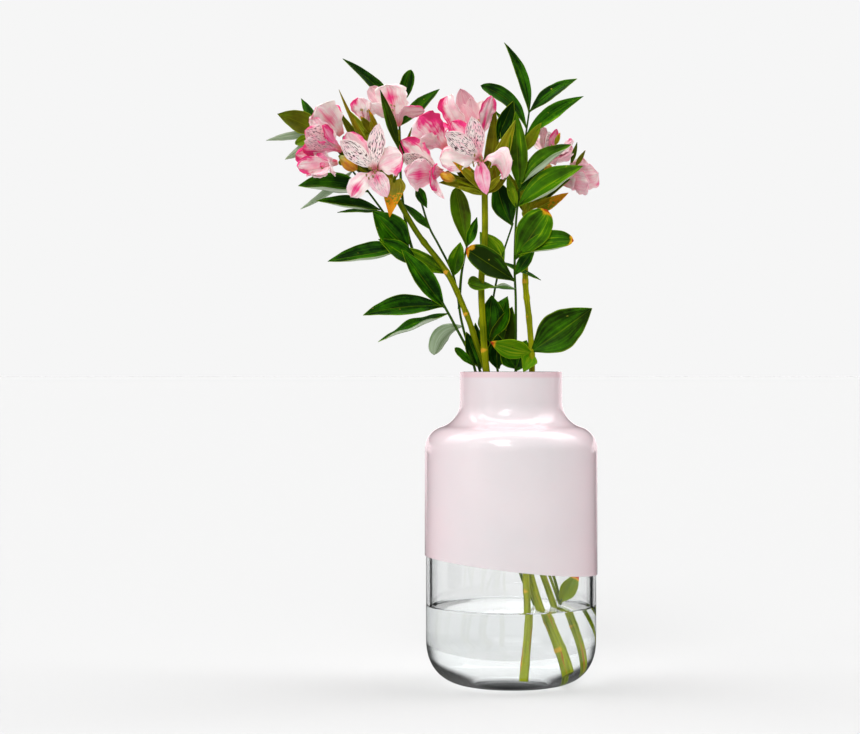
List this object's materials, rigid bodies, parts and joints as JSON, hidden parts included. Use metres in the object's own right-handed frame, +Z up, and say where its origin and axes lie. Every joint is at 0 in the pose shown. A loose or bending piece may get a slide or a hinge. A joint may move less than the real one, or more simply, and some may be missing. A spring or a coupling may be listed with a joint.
{
  "type": "cut alstroemeria stems with ruscus greenery in a glass vase",
  "caption": "Bouquet of pink and white streaked alstroemeria with leafy ruscus sprigs, standing in water in a clear and pink opal glass vase.",
  "frame": {"origin": "centre of the vase's base, on the surface it stands on", "axes": "+Z up, +X to the picture's right, -Y towards the picture's viewer"},
  "size_m": [0.2963, 0.15, 0.5572],
  "materials": {
    "clear_glass": "clear, polished, very faintly smoky at its thick edges",
    "opal_glass": "milky pale pink opal, polished",
    "water": "clear, still",
    "stem": "waxy yellow-green stem, satin",
    "leaf": "leathery dark green leaf, semi-gloss",
    "petal": "pale pink to white petal with dark streaks, matte",
    "deep_petal": "pink petal, matte",
    "bud": "yellow-orange bud, satin"
  },
  "bodies": {
    "root": {"vase_glass": "clear_glass", "opal_layer": "opal_glass", "water": "water", "alstroemeria_left": "stem", "alstroemeria_centre": "stem", "alstroemeria_right": "stem", "bud_left_1": "bud", "bud_centre_1": "bud", "bud_centre_2": "bud", "bud_right_1": "bud", "bloom_left_1": "petal", "bloom_left_2": "deep_petal", "bloom_left_3": "deep_petal", "bloom_left_4": "deep_petal", "bloom_left_5": "petal", "bloom_left_6": "deep_petal", "bloom_centre_1": "petal", "bloom_centre_2": "deep_petal", "bloom_centre_3": "deep_petal", "bloom_centre_4": "deep_petal", "bloom_right_1": "deep_petal", "bloom_right_2": "deep_petal", "ruscus_far_left": "leaf", "ruscus_left": "leaf", "ruscus_middle": "leaf", "ruscus_tall": "leaf"}
  },
  "joints": []
}
